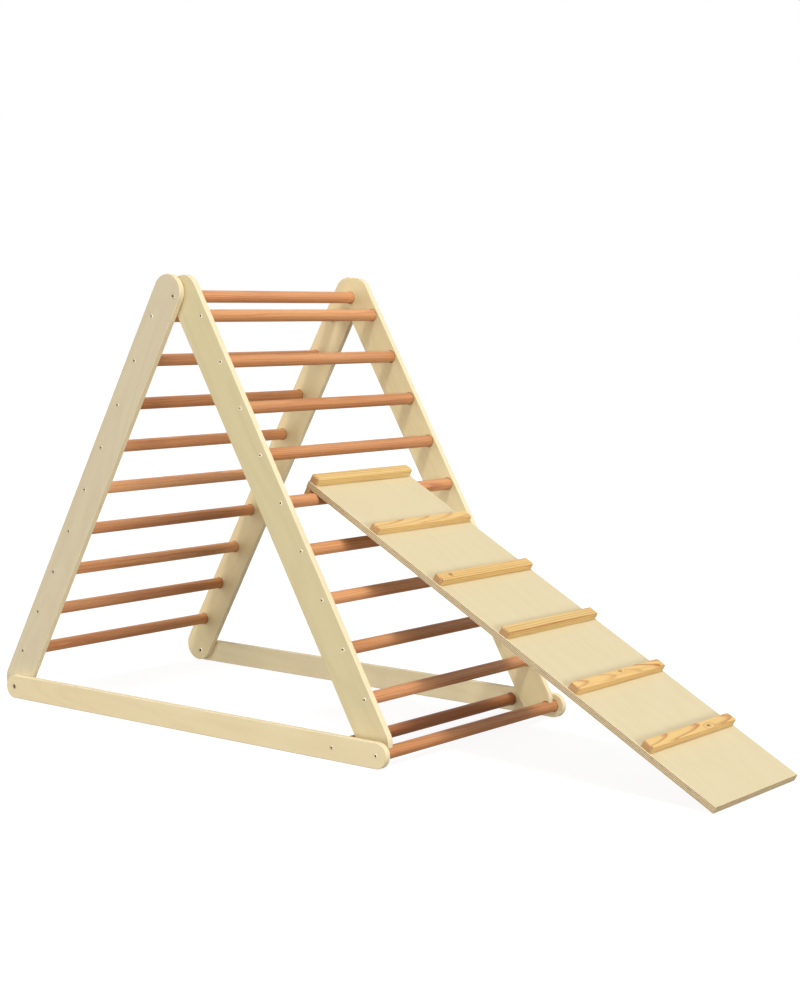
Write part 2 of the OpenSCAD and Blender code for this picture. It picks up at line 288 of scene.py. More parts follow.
def ply_edge(name, long_c, end_c, glue, tick, plies, thick, dark=1.0):
    """Sawn and sanded edge of plywood: each second ply shows end grain."""
    n = Nodes(name)
    g, seed, shift = grain_inputs(n)
    u, v, w = n.split(g)
    endness = n.attr("endness", "Fac")
    run = n.attr("run", "Fac")
    # plies wander a little in thickness along the edge
    along = n.vec(n.math("MULTIPLY", run, 9.0), n.math("MULTIPLY", w, 60.0), seed)
    wander = n.math("MULTIPLY", n.math("SUBTRACT", n.noise(along, 1.0, 2.0, 0.5), 0.5), 0.00042)
    level = n.math("DIVIDE", n.math("ADD", w, wander), thick / plies)
    ply = n.math("FLOOR", level)
    part = n.math("FRACT", level)
    odd = n.math("MODULO", n.math("ADD", ply, 20.0), 2.0)
    # on a long side the odd plies show end grain, on an end the even ones do
    cross = n.math("ABSOLUTE", n.math("SUBTRACT", odd, n.range(endness, 0.45, 0.85)))
    fine = n.noise(n.vec(n.math("MULTIPLY", run, 900.0), n.math("MULTIPLY", w, 2600.0), seed), 1.0, 2.0, 0.6)
    pores = n.noise(n.vec(n.math("MULTIPLY", run, 2600.0), n.math("MULTIPLY", w, 1500.0), seed), 1.0, 2.0, 0.6)
    streak = n.noise(n.vec(n.math("MULTIPLY", run, 60.0), n.math("MULTIPLY", w, 4200.0), seed), 1.0, 3.0, 0.6)
    blotch = n.noise(n.vec(n.math("MULTIPLY", run, 22.0), n.math("MULTIPLY", ply, 3.7), seed), 1.0, 2.0, 0.5)
    lng = n.mix(n.math("MULTIPLY", n.range(streak, 0.4, 0.7), 0.35), long_c, end_c)
    end = n.mix(n.math("MULTIPLY", n.range(pores, 0.42, 0.7), 0.55), end_c, tick)
    end = n.mix(n.math("MULTIPLY", n.range(blotch, 0.52, 0.72), 0.45 * dark), end, tick)
    c = n.mix(cross, lng, end)
    c = n.mix(n.math("MULTIPLY", n.range(fine, 0.45, 0.75), 0.14), c, tick)
    line = n.math("MINIMUM", part, n.math("SUBTRACT", 1.0, part))
    gl = n.math("MULTIPLY", n.range(line, 0.10, 0.02), n.range(blotch, 0.25, 0.6, 0.35, 0.95))
    c = n.mix(n.math("MULTIPLY", gl, dark), c, glue)
    # a small open core gap here and there
    void = n.math("MULTIPLY", n.range(n.noise(n.vec(n.math("MULTIPLY", run, 34.0), n.math("MULTIPLY", ply, 7.3), n.math("ADD", seed, 5.0)), 1.0, 1.0, 0.5), 0.735, 0.76), n.range(line, 0.12, 0.25))
    void = n.math("MULTIPLY", void, cross)
    c = n.mix(n.math("MULTIPLY", void, 0.85), c, tuple(x * 0.45 for x in tick))
    height = n.math("ADD", n.math("MULTIPLY", gl, -0.5), n.math("MULTIPLY", n.math("MULTIPLY", pores, cross), -0.7))
    height = n.math("SUBTRACT", height, n.math("MULTIPLY", void, 1.2))
    return n.finish(c, n.range(fine, 0.2, 0.8, 0.48, 0.62), n.bump(height, 0.35, 0.00015), Specular_IOR_Level=0.38)


def solid_wood(name, early, late, pale, ring=0.0045, wave=0.012, pore=0.2, knots=False, knot_c=(0.1, 0.04, 0.015), gloss=(0.38, 0.5), end=False, end_dark=(0.2, 0.1, 0.05), end_mix=0.45, coat=0.12, streaks=0.3, vary_by=0.5, other=(0.9, 0.86, 0.82), rings=1.0, late_from=0.35):
    """Sawn or turned timber: growth rings round a pith that lies outside the piece, so a face shows
    long lines and cathedrals and an end shows arcs. A piece's knot attribute is where its knot lies along
    and across it, and the knot's radius."""
    n = Nodes(name)
    g, seed, shift = grain_inputs(n)
    u, v, w = n.split(g)
    low = n.vec(n.math("ADD", n.math("MULTIPLY", u, 4.2), seed), n.math("MULTIPLY", v, 16.0), n.math("MULTIPLY", w, 16.0))
    bend = n.noise(low, 1.0, 2.0, 0.5)
    bend2 = n.noise(n.vec(n.math("ADD", n.math("MULTIPLY", u, 13.0), n.math("MULTIPLY", seed, 1.3)), n.math("MULTIPLY", v, 60.0), n.math("MULTIPLY", w, 60.0)), 1.0, 2.0, 0.5)
    # where the pith lies differs from piece to piece, and the saw never quite follows it
    pv, pw, slope = n.split(n.attr("pith"))
    dv = n.math("SUBTRACT", v, pv)
    dw = n.math("SUBTRACT", w, pw)
    dv = n.math("ADD", dv, n.math("MULTIPLY", u, slope))
    dw = n.math("ADD", dw, n.math("MULTIPLY", u, n.math("MULTIPLY", slope, 1.3)))
    r = n.math("SQRT", n.math("ADD", n.math("MULTIPLY", dv, dv), n.math("MULTIPLY", dw, dw)))
    r = n.math("ADD", r, n.math("MULTIPLY", n.math("SUBTRACT", bend, 0.5), wave))
    r = n.math("ADD", r, n.math("MULTIPLY", n.math("SUBTRACT", bend2, 0.5), wave * 0.16))
    kmask = None
    if knots:
        ku, kv, kr = n.split(n.attr("knot"))
        au = n.math("MULTIPLY", n.math("SUBTRACT", u, ku), 0.45)
        av = n.math("SUBTRACT", v, kv)
        dist = n.math("SQRT", n.math("ADD", n.math("MULTIPLY", au, au), n.math("MULTIPLY", av, av)))
        dist = n.math("DIVIDE", dist, n.math("MAXIMUM", kr, 0.00001))
        # the rings swing round the knot, further along the grain than across it
        r = n.math("ADD", r, n.math("MULTIPLY", n.range(dist, 5.0, 0.0), ring * 1.7))
        kmask = n.range(dist, 1.0, 0.6)
        krim = n.range(n.math("ABSOLUTE", n.math("SUBTRACT", dist, 1.0)), 0.4, 0.0)
    level = n.math("DIVIDE", r, ring)
    part = n.math("FRACT", level)
    year = n.math("FLOOR", level)
    # early wood passes slowly into dark late wood, which stops sharply
    latew = n.math("MULTIPLY", n.range(part, late_from, 0.90), n.range(part, 1.0, 0.94))
    vary = n.noise(n.vec(n.math("MULTIPLY", year, 1.37), seed, 0.0), 1.0, 0.0, 0.5)
    latew = n.math("MULTIPLY", latew, n.range(vary, 0.25, 0.75, 0.45, 1.0))
    fib = n.noise(n.vec(n.math("ADD", n.math("MULTIPLY", u, 26.0), seed), n.math("MULTIPLY", v, 1300.0), n.math("MULTIPLY", w, 1300.0)), 1.0, 2.0, 0.6)
    streak = n.noise(n.vec(n.math("ADD", n.math("MULTIPLY", u, 3.4), seed), n.math("MULTIPLY", v, 190.0), n.math("MULTIPLY", w, 190.0)), 1.0, 3.0, 0.55)
    tone = n.noise(n.vec(n.math("ADD", n.math("MULTIPLY", u, 2.1), n.math("MULTIPLY", seed, 1.9)), n.math("MULTIPLY", v, 12.0), n.math("MULTIPLY", w, 12.0)), 1.0, 2.0, 0.5)
    c = n.mix(n.math("MULTIPLY", latew, rings), early, late)
    c = n.mix(n.math("MULTIPLY", n.range(streak, 0.42, 0.72), streaks), c, late)
    c = n.mix(n.math("MULTIPLY", n.range(tone, 0.42, 0.75), 0.42), c, pale)
    c = n.mix(n.math("MULTIPLY", n.range(fib, 0.5, 0.78), pore), c, tuple(x * 0.55 for x in late))
    # no two pieces come from one tree
    piece = n.math("FRACT", n.math("MULTIPLY", seed, 0.7549))
    c = n.mix(n.math("MULTIPLY", piece, vary_by), c, n.mix(1.0, c, other, "MULTIPLY"))
    # the tone attribute lightens or darkens a piece; on some dowels that is painted light and shade
    c = n.mix(1.0, c, n.attr("tone"), "MULTIPLY")
    height = n.math("ADD", n.math("MULTIPLY", latew, 0.35), n.math("MULTIPLY", fib, -0.5))
    if kmask is not None:
        c = n.mix(n.math("MULTIPLY", krim, 0.75), c, tuple(x * 0.5 for x in late))
        c = n.mix(n.math("MULTIPLY", kmask, 0.8), c, knot_c)
    rough = n.range(fib, 0.2, 0.8, gloss[0], gloss[1])
    if end:
        # cut across the fibre: darker, open pores, rays
        pores = n.noise(n.vec(n.math("MULTIPLY", u, 40.0), n.math("MULTIPLY", v, 3600.0), n.math("MULTIPLY", w, 3600.0)), 1.0, 2.0, 0.6)
        c = n.mix(end_mix, c, end_dark)
        c = n.mix(n.math("MULTIPLY", latew, 0.85), c, tuple(x * 0.42 for x in end_dark))
        c = n.mix(n.math("MULTIPLY", n.range(pores, 0.45, 0.7), 0.35), c, tuple(x * 0.45 for x in end_dark))
        height = n.math("MULTIPLY", pores, -1.0)
        rough = n.range(pores, 0.2, 0.8, 0.55, 0.72)
    return n.finish(c, rough, n.bump(height, 0.25, 0.0001), Specular_IOR_Level=0.42, Coat_Weight=0.0 if end else coat, Coat_Roughness=0.3)


def metal(name, base, rough_lo, rough_hi):
    """Zinc-plated steel: fine turning marks and slightly cloudy plating."""
    n = Nodes(name)
    t = n.t.nodes.new("ShaderNodeTexCoord").outputs["Object"]
    cloud = n.noise(t, 900.0, 3.0, 0.6)
    spot = n.noise(t, 5200.0, 2.0, 0.6)
    c = n.mix(n.range(cloud, 0.35, 0.7), base, tuple(x * 0.72 for x in base))
    rough = n.range(cloud, 0.3, 0.7, rough_lo, rough_hi)
    return n.finish(c, rough, n.bump(spot, 0.15, 0.00003), Metallic=1.0)


def nylon(name, base):
    n = Nodes(name)
    t = n.t.nodes.new("ShaderNodeTexCoord").outputs["Object"]
    grainy = n.noise(t, 2400.0, 3.0, 0.6)
    c = n.mix(n.range(grainy, 0.35, 0.7), base, tuple(x * 0.9 for x in base))
    return n.finish(c, n.range(grainy, 0.3, 0.7, 0.42, 0.58), n.bump(grainy, 0.2, 0.00004))


M_BIRCH = veneer("birch_veneer", srgb(220, 207, 172), srgb(214, 198, 162), srgb(197, 178, 138), 0.6)
M_BIRCH_EDGE = ply_edge("birch_plywood_edge", srgb(238, 226, 192), srgb(224, 206, 164), srgb(180, 152, 110), srgb(204, 178, 136), 11, 0.015, 0.48)
M_BOARD = veneer("ramp_veneer", srgb(215, 200, 162), srgb(210, 194, 154), srgb(196, 176, 132), 0.34)
M_BOARD_EDGE = ply_edge("ramp_plywood_edge", srgb(246, 228, 188), srgb(184, 156, 112), srgb(116, 88, 56), srgb(104, 78, 50), 9, 0.015, 1.0)
M_DOWEL = solid_wood("stained_dowel", srgb(206, 144, 98), srgb(172, 106, 66), srgb(222, 168, 126), ring=0.0046, wave=0.008, pore=0.30, gloss=(0.36, 0.5), coat=0.14, streaks=0.42, rings=0.75, vary_by=0.9, other=(0.90, 0.87, 0.80))
M_DOWEL_END = solid_wood("stained_dowel_end", srgb(160, 98, 62), srgb(120, 66, 40), srgb(180, 116, 78), ring=0.0046, wave=0.008, end=True, end_dark=srgb(112, 62, 38))
M_PINE = solid_wood("pine", srgb(228, 194, 128), srgb(176, 112, 52), srgb(234, 202, 142), ring=0.0036, wave=0.0046, pore=0.18, knots=True, knot_c=srgb(122, 74, 36), coat=0.16, streaks=0.24, vary_by=0.4, other=(1.0, 0.94, 0.84), late_from=0.58)
M_PINE_END = solid_wood("pine_end", srgb(232, 190, 132), srgb(176, 124, 74), srgb(236, 196, 140), ring=0.0036, wave=0.0046, end=True, end_dark=srgb(204, 152, 98), end_mix=0.25, vary_by=0.2)
# the socket mouths round the dowel ends are dark brown: painted shade in the gap
M_SOCKET_SHADE = solid_wood("socket_painted_shade", srgb(120, 66, 38), srgb(84, 42, 24), srgb(134, 78, 46), ring=0.0052, pore=0.3, coat=0.0, gloss=(0.6, 0.75))
M_STEEL = metal("zinc_steel", (0.92, 0.81, 0.58), 0.24, 0.36)
# the screws' hex sockets are painted near black: painted shade in the recess
M_HEX_SOCKET_SHADE = metal("hex_socket_painted_shade", (0.060, 0.044, 0.026), 0.5, 0.65)
M_BOLT = metal("dark_steel", (0.74, 0.62, 0.43), 0.28, 0.4)
# the bolts' hex sockets are painted darker: painted shade in the recess
M_BOLT_SOCKET_SHADE = metal("bolt_socket_painted_shade", (0.32, 0.25, 0.155), 0.5, 0.65)
M_NYLON = nylon("nylon", srgb(226, 226, 222))


# ------------------------------------------------------------ mesh building
SEEDS = random.Random(20391)


def seed_value():
    return SEEDS.uniform(3.0, 60.0)


def new_object(name, mesh, body, nodes, mats):
    for m in mats:
        mesh.materials.append(m)
    obj = bpy.data.objects.new(name, mesh)
    bpy.context.scene.collection.objects.link(obj)
    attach(obj, body)
    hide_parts(*nodes)
    return obj


class Builder:
    """Collects vertices with their place in the grain, and faces with their material."""

    def __init__(self):
        self.co, self.gc, self.endness, self.run, self.faces, self.mat = [], [], [], [], [], []

    def vert(self, co, gc=(0, 0, 0), endness=0.0, run=0.0):
        self.co.append(co)
        self.gc.append(gc)
        self.endness.append(endness)
        self.run.append(run)
        return len(self.co) - 1

    def face(self, ids, mat=0):
        self.faces.append(ids)
        self.mat.append(mat)

    def mesh(self, name, seed, angle=38.0, tone=(1.0, 1.0, 1.0), pith=(0.05, 0.03, 0.01), knot=(0.0, 0.0, 0.0)):
        me = bpy.data.meshes.new(name)
        me.from_pydata([tuple(c) for c in self.co], [], self.faces)
        for i, p in enumerate(me.polygons):
            p.material_index = self.mat[i]
            p.use_smooth = True
        a = me.attributes.new("gc", "FLOAT_VECTOR", "POINT")
        a.data.foreach_set("vector", [x for g in self.gc for x in g])
        me.attributes.new("tone", "FLOAT_VECTOR", "POINT").data.foreach_set("vector", list(tone) * len(self.co))
        me.attributes.new("pith", "FLOAT_VECTOR", "POINT").data.foreach_set("vector", list(pith) * len(self.co))
        me.attributes.new("knot", "FLOAT_VECTOR", "POINT").data.foreach_set("vector", list(knot) * len(self.co))
        for key, values in (("endness", self.endness), ("run", self.run), ("seed", [seed] * len(self.co))):
            me.attributes.new(key, "FLOAT", "POINT").data.foreach_set("value", values)
        bm = bmesh.new()
        bm.from_mesh(me)
        bmesh.ops.recalc_face_normals(bm, faces=bm.faces)
        limit = math.radians(angle)
        for e in bm.edges:
            if len(e.link_faces) == 2 and e.calc_face_angle(0.0) > limit:
                e.smooth = False
        bm.to_mesh(me)
        bm.free()
        me.update()
        return me


def weighted(obj):
    """Area-weighted normals, kept in the mesh, so flat faces stay flat next to their rounded edges."""
    m = obj.modifiers.new("normals", "WEIGHTED_NORMAL")
    m.mode = "FACE_AREA"
    m.weight = 60
    m.keep_sharp = True
    dg = bpy.context.evaluated_depsgraph_get()
    dg.update()
    done = bpy.data.meshes.new_from_object(obj.evaluated_get(dg), preserve_all_data_layers=True, depsgraph=dg)
    old = obj.data
    obj.modifiers.clear()
    obj.data = done
    done.name = old.name
    return obj


def arc(cx, cy, r, a0, a1, n):
    return [(cx + r * math.cos(math.radians(a0 + (a1 - a0) * i / n)), cy + r * math.sin(math.radians(a0 + (a1 - a0) * i / n))) for i in range(n + 1)]


def stadium(x1, x2, y, r, n=56):
    return arc(x2, y, r, -90, 90, n) + arc(x1, y, r, 90, 270, n)


def rounded_rect(x1, x2, y1, y2, r, n=6):
    return arc(x2 - r, y1 + r, r, -90, 0, n) + arc(x2 - r, y2 - r, r, 0, 90, n) + arc(x1 + r, y2 - r, r, 90, 180, n) + arc(x1 + r, y1 + r, r, 180, 270, n)


def outward(points):
    """Unit normal and miter length at each point of a counter-clockwise loop."""
    out = []
    n = len(points)
    for i in range(n):
        a, b, c = Vector(points[i - 1]), Vector(points[i]), Vector(points[(i + 1) % n])
        d1, d2 = (b - a).normalized(), (c - b).normalized()
        n1, n2 = Vector((d1.y, -d1.x)), Vector((d2.y, -d2.x))
        m = (n1 + n2).normalized()
        out.append((m, min(1.0 / max(m.dot(n1), 0.35), 1.8)))
    return out


def plate(name, place, outline, w0, w1, r0, r1, holes0=(), holes1=(), body="", nodes=(), mats=(), grain="uvw", end_mat=None, edge_mat=1, seed=None, steps=5, tone=(1.0, 1.0, 1.0), pith=(0.05, 0.03, 0.01), shade_r=8.0, knot=(0.0, 0.0, 0.0)):
    """A plate with rounded edges and blind round holes. outline is counter-clockwise in (u, v), w0 and w1
    are its two faces, r0 and r1 the edge roundings there. A hole is (u, v, [(radius, depth), ...]). The walls
    of a hole wider than the given radius take the third material, where the piece has one: dark brown painted shade in
    the gap round the dowel."""
    b = Builder()
    norms = outward(outline)
    n = len(outline)
    run = [0.0]
    for i in range(1, n + 1):
        run.append(run[-1] + (Vector(outline[i % n]) - Vector(outline[i - 1])).length)

    def gco(u, v, w):
        t = {"u": u, "v": v, "w": w}
        return tuple(t[k] * MM for k in grain)

    def put(u, v, w, endness=0.0, rn=0.0):
        return b.vert(place((u, v, w)), gco(u, v, w - w0 if grain[2] == "w" else w), endness, rn * MM)

    def ring(inset, w):
        ids = []
        for i, (p, (m, k)) in enumerate(zip(outline, norms)):
            q = Vector(p) - m * (inset * k)
            ids.append(put(q.x, q.y, w, abs(m.x), run[i]))
        return ids

    levels = []
    for s in range(steps + 1):
        t = math.pi / 2 * s / steps
        levels.append((r1 * (1 - math.sin(t)), w1 - r1 * (1 - math.cos(t))))
    for s in range(steps, -1, -1):
        t = math.pi / 2 * s / steps
        levels.append((r0 * (1 - math.sin(t)), w0 + r0 * (1 - math.cos(t))))
    rings = [ring(i, w) for i, w in levels]
    long_way = 0 if grain[0] == "u" else 1
    for k in range(len(rings) - 1):
        for i in range(n):
            j = (i + 1) % n
            m = (norms[i][0] + norms[j][0]).normalized()
            mat = edge_mat
            if end_mat is not None and abs(m[long_way]) > 0.7:
                mat = end_mat
            b.face((rings[k][i], rings[k][j], rings[k + 1][j], rings[k + 1][i]), mat)

    def cap(border, w, holes, sign):
        loops = [[(b.co[i], i) for i in border]]
        flat = [[Vector((p[0] - (norms[k][0] * (r1 if sign > 0 else r0) * norms[k][1]).x, p[1] - (norms[k][0] * (r1 if sign > 0 else r0) * norms[k][1]).y, 0)) for k, p in enumerate(outline)]]
        ids = list(border)
        for (hu, hv, prof) in holes:
            seg = 48 if prof[0][0] > 8 else 32
            pts = [(hu + prof[0][0] * math.cos(TAU * k / seg), hv + prof[0][0] * math.sin(TAU * k / seg)) for k in range(seg)]
            top = [put(pu, pv, w) for pu, pv in pts]
            ids += top
            flat.append([Vector((pu, pv, 0)) for pu, pv in pts])
            last = top
            # hole walls wider than the given radius take the third material, painted shade round the dowel
            wall_mat = 2 if len(mats) > 2 and prof[0][0] > shade_r else edge_mat
            for (hr, depth) in prof[1:]:
                nxt = [put(hu + hr * math.cos(TAU * k / seg), hv + hr * math.sin(TAU * k / seg), w - sign * depth, 0.5, hr) for k in range(seg)]
                for k in range(seg):
                    b.face((last[k], last[(k + 1) % seg], nxt[(k + 1) % seg], nxt[k]), wall_mat)
                last = nxt
            c = put(hu, hv, w - sign * prof[-1][1])
            for k in range(seg):
                b.face((last[k], last[(k + 1) % seg], c), 0)
        for t in tessellate_polygon(flat):
            b.face(tuple(ids[i] for i in t), 0)

    cap(rings[0], w1, holes1, 1)
    cap(rings[-1], w0, holes0, -1)
    me = b.mesh(name, seed_value() if seed is None else seed, 38.0, tone, pith, knot)
    return weighted(new_object(name, me, body, nodes, mats))


def ladder_place(side):
    a = lean(side)
    u = Vector((side * math.sin(a), 0, -math.cos(a)))
    v = Vector((side * math.cos(a), 0, math.sin(a)))
    o = Vector((X0, 0, APEX_H))
    return lambda p: (o + u * p[0] + v * p[1] + Vector((0, p[2], 0))) * MM


def floor_place(p):
    return Vector((X0 + p[0], p[2], p[1])) * MM


RAMP_M = Matrix(((-math.cos(RAMP_A), 0, math.sin(RAMP_A)), (0, 1, 0), (math.sin(RAMP_A), 0, math.cos(RAMP_A))))


def ramp_place(p):
    """u up the ramp from its foot, v across, w square to the board."""
    return (Vector((X0 + REACH, 0, 0)) + RAMP_M @ Vector(p)) * MM


# --------------------------------------------------------------- the pieces
HEAD_HOLE = [(5.35, 0), (5.15, 0.25), (5.15, 3.1)]
SOCKET_HOLE = [(15.1, 0), (14.95, 0.2), (14.15, 1.6), (14.15, 6.0)]
BOLT_HOLE = [(6.75, 0), (6.5, 0.25), (6.5, 3.5)]
EDGE_R = 1.7


def rung_points(side):
    return [(FIRST + i * PITCH, OFF) for i in range(9)]


def front_outline():
    """The front rail's outline with its notch over the front base rung."""
    full = arc(FRONT_BOT, FRONT_MID, RAIL_R, -90, 90, 120) + arc(RAIL_TOP, FRONT_MID, RAIL_R, 90, 270, 56)
    f = Vector((HOLD_ALONG, 33.2))
    r = RUNG_R + 0.8
    h = r - 0.3
    d = Vector((math.cos(math.radians(-20)), math.sin(math.radians(-20))))
    q = Vector((-d.y, d.x))

    def bitten(p):
        e = Vector(p) - f
        return e.length < r or (e.dot(d) > 0 and abs(e.dot(q)) < h)

    def in_rail(p):
        t = min(max(p.x, RAIL_TOP), FRONT_BOT)
        return (p - Vector((t, FRONT_MID))).length < RAIL_R - 1e-6

    start = math.sqrt(r * r - h * h)
    a_wall = math.degrees(math.atan2(h, start))
    base = math.degrees(math.atan2(d.y, d.x))
    path = [f + d * (60 - i) + q * (-h) for i in range(0, 60)]
    path = [p for p in path if (p - f).dot(d) > start]
    path += [f + Vector((math.cos(math.radians(base - a_wall - (360 - 2 * a_wall) * k / 64)), math.sin(math.radians(base - a_wall - (360 - 2 * a_wall) * k / 64)))) * r for k in range(65)]
    path += [p for p in (f + d * i + q * h for i in range(1, 60)) if (p - f).dot(d) > start]
    path = [p for p in path if in_rail(p)]
    n = len(full)
    gone = [bitten(p) for p in full]
    first = next(i for i in range(n) if gone[i] and not gone[i - 1])
    last = next(i for i in range(n) if gone[i] and not gone[(i + 1) % n])

    def cut(a, b):
        """The point between a, kept, and b, bitten, where the outline meets the notch."""
        a, b = Vector(a), Vector(b)
        for _ in range(40):
            m = (a + b) / 2
            if bitten(m):
                b = m
            else:
                a = m
        return a

    pa, pb = cut(full[first - 1], full[first]), cut(full[(last + 1) % n], full[last])
    if (path[0] - pa).length > (path[-1] - pa).length:
        path.reverse()
    path = [p for p in path if (p - pa).length > 0.4 and (p - pb).length > 0.4]
    kept = []
    i = (last + 1) % n
    while i != first:
        kept.append(Vector(full[i]))
        i = (i + 1) % n
    kept = [p for p in kept if (p - pa).length > 0.3 and (p - pb).length > 0.3]
    return [tuple(p) for p in kept + [pa] + path + [pb]]


BIRCH = [M_BIRCH, M_BIRCH_EDGE, M_SOCKET_SHADE]
for s, tag in ((-1, "near"), (1, "far")):
    # rear rails: sockets inside, screw heads outside, apex and base pivots
    outer = [(u, v, HEAD_HOLE) for u, v in rung_points(-1)] + [(0, 0, BOLT_HOLE)]
    inner = [(u, v, SOCKET_HOLE) for u, v in rung_points(-1)] + [(PIVOT_ALONG, 8.8, BOLT_HOLE)]
    lo, hi = (-REAR_OUT, -REAR_IN) if s < 0 else (REAR_IN, REAR_OUT)
    # the far rail's tone is lighter than the near one's: painted light on its inner face, which gets less light
    plate("rear_rail_%s_ply" % tag, ladder_place(-1), stadium(RAIL_TOP, REAR_BOT, REAR_MID, RAIL_R), lo, hi, EDGE_R, EDGE_R,
          outer if s < 0 else inner, inner if s < 0 else outer, "rear_ladder", ["rear_rail_%s" % tag], BIRCH, tone=(1.0, 1.0, 1.02) if s < 0 else (1.20, 1.17, 1.02))
    # front rails
    outer = [(u, v, HEAD_HOLE) for u, v in rung_points(1)] + [(0, 0, [(11.3, 0), (11.15, 0.2), (11.15, 1.5)])]
    inner = [(u, v, SOCKET_HOLE) for u, v in rung_points(1)] + [(0, 0, SOCKET_HOLE)]
    lo, hi = (-FRONT_OUT, -FRONT_IN) if s < 0 else (FRONT_IN, FRONT_OUT)
    # the far rail's tone is lighter than the near one's: painted light on its inner face, which gets less light
    plate("front_rail_%s_ply" % tag, ladder_place(1), front_outline(), lo, hi, EDGE_R, EDGE_R,
          outer if s < 0 else inner, inner if s < 0 else outer, "front_ladder", ["front_rail_%s" % tag], BIRCH, tone=(1.02, 1.0, 0.87) if s < 0 else (1.17, 1.15, 1.0))
    # base bars
    outer = [(FX, BASE_H / 2, HEAD_HOLE), (DX, BASE_H / 2, HEAD_HOLE), (BX, BASE_H / 2, [(6.6, 0), (6.35, 0.25), (6.35, 3.3)])]
    inner = [(FX, BASE_H / 2, SOCKET_HOLE), (DX, BASE_H / 2, SOCKET_HOLE), (BX, BASE_H / 2, [(11.3, 0), (11.15, 0.2), (11.15, 1.5)])]
    lo, hi = (-BASE_OUT, -BASE_IN) if s < 0 else (BASE_IN, BASE_OUT)
    plate("base_bar_%s_ply" % tag, floor_place, stadium(BX, FX, BASE_H / 2, BASE_H / 2, 44), lo, hi, EDGE_R, EDGE_R,
          outer if s < 0 else inner, inner if s < 0 else outer, "base_frame", ["base_bar_%s" % tag], BIRCH, tone=(1.22, 1.18, 1.10) if s < 0 else (1.25, 1.25, 1.2))

# ramp board, screwed from below to its cleats
screw_v = RAMP_W / 2 - 50
cleat_mid = [CLEAT_FIRST + i * CLEAT_PITCH + CLEAT_W / 2 for i in range(CLEATS)]
below = [(c, RAMP_Y + y * screw_v, [(4.2, 0), (2.1, 2.4), (2.1, 14.0)]) for c in cleat_mid for y in (-1, 1)]
plate("ramp_board_ply", ramp_place, rounded_rect(0, RAMP_LEN, RAMP_Y - RAMP_W / 2, RAMP_Y + RAMP_W / 2, 1.6, 4), 0, RAMP_T, 0.9, 0.9,
      below, (), "ramp", ["ramp_board"], [M_BOARD, M_BOARD_EDGE], tone=(0.93, 0.93, 0.93))
# how each cleat was sawn: (across, through, slope) of its pith from the cleat's middle, in metres, its colour, and
# its knot: along it from the middle and across it, in millimetres, and the knot's radius
CLEAT_WOOD = [((0.005, -0.030, 0.026), (0.92, 0.90, 0.86), (62, -4, 2.6)), ((-0.004, -0.026, 0.034), (0.93, 0.90, 0.84), (8, 5, 2.0)), ((0.030, -0.034, -0.008), (0.88, 0.89, 0.87), (0, 0, 0)),
              ((0.036, -0.040, 0.006), (0.90, 0.87, 0.80), (-128, 2, 2.2)), ((0.012, -0.034, 0.030), (0.92, 0.89, 0.84), (0, 0, 0)), ((-0.050, -0.050, 0.010), (0.93, 0.94, 0.89), (0, 0, 0))]
for i in range(CLEATS):
    top = i == CLEATS - 1
    u0 = CLEAT_FIRST + i * CLEAT_PITCH
    v0, v1 = RAMP_Y - RAMP_W / 2 + 1.3, RAMP_Y + RAMP_W / 2 - 1.3
    r = 5.0 if top else 2.8
    (pv, pw, slope), tone, (kl, kc, kr) = CLEAT_WOOD[i]
    plate("ramp_cleat_%d_pine" % (i + 1), ramp_place, rounded_rect(u0, u0 + CLEAT_W, v0, v1, r + 0.3, 6), RAMP_T, RAMP_T + CLEAT_H + (3 if top else 0), 0.4, r,
          (), (), "ramp", ["ramp_cleat_%d" % (i + 1)], [M_PINE, M_PINE_END], grain="vuw", end_mat=1, edge_mat=0,
          tone=tone, pith=((u0 + CLEAT_W / 2) * MM + pv, pw, slope), knot=((RAMP_Y + kl) * MM, (u0 + CLEAT_W / 2 + kc) * MM, kr * MM))
hook_below = [(HOOK_S + HOOK_W / 2, RAMP_Y + y * (screw_v - 40), [(4.3, 0), (2.1, 2.6), (2.1, 21.0)]) for y in (-1, 0, 1)]
plate("ramp_hook_block_pine", ramp_place, rounded_rect(HOOK_S, RAMP_LEN, RAMP_Y - RAMP_W / 2 + 0.5, RAMP_Y + RAMP_W / 2 - 0.5, 5.2, 6), -HOOK_D, 0, 5.0, 0.4,
      hook_below, (), "ramp", ["ramp_hook_block"], [M_PINE, M_PINE_END], grain="vuw", end_mat=1, edge_mat=0,
      tone=(0.95, 0.90, 0.84), pith=((HOOK_S + HOOK_W / 2) * MM + 0.03, -0.05, 0.012))


# each dowel is made lighter or darker by one of five tones. Under the ramp these are painted light and shade: the
# darkest tone on the inner base rung and the dark tone on front_rung_8 and the front base rung are painted shadow of
# the ramp, and the pale tone on front_rung_6 and front_rung_7 is painted light in that shadow
DOWEL_TONES_PAINTED_LIGHT_SHADE = {"palest": (1.40, 1.58, 1.66), "pale": (1.18, 1.28, 1.28), "mid": (1.06, 1.08, 1.04), "dark": (0.92, 0.90, 0.80), "darkest_painted_shade": (0.72, 0.60, 0.46)}
PALEST = ("rear_rung_5",)
RAMP_SHADE_DARKEST = ("base_rung_inner",)
PALE = ("rear_rung_1", "rear_rung_7", "front_rung_1", "front_rung_6", "front_rung_7")
DARK = ("rear_rung_3", "rear_rung_8", "rear_rung_9", "front_rung_3", "front_rung_4", "front_rung_8", "base_rung_front")


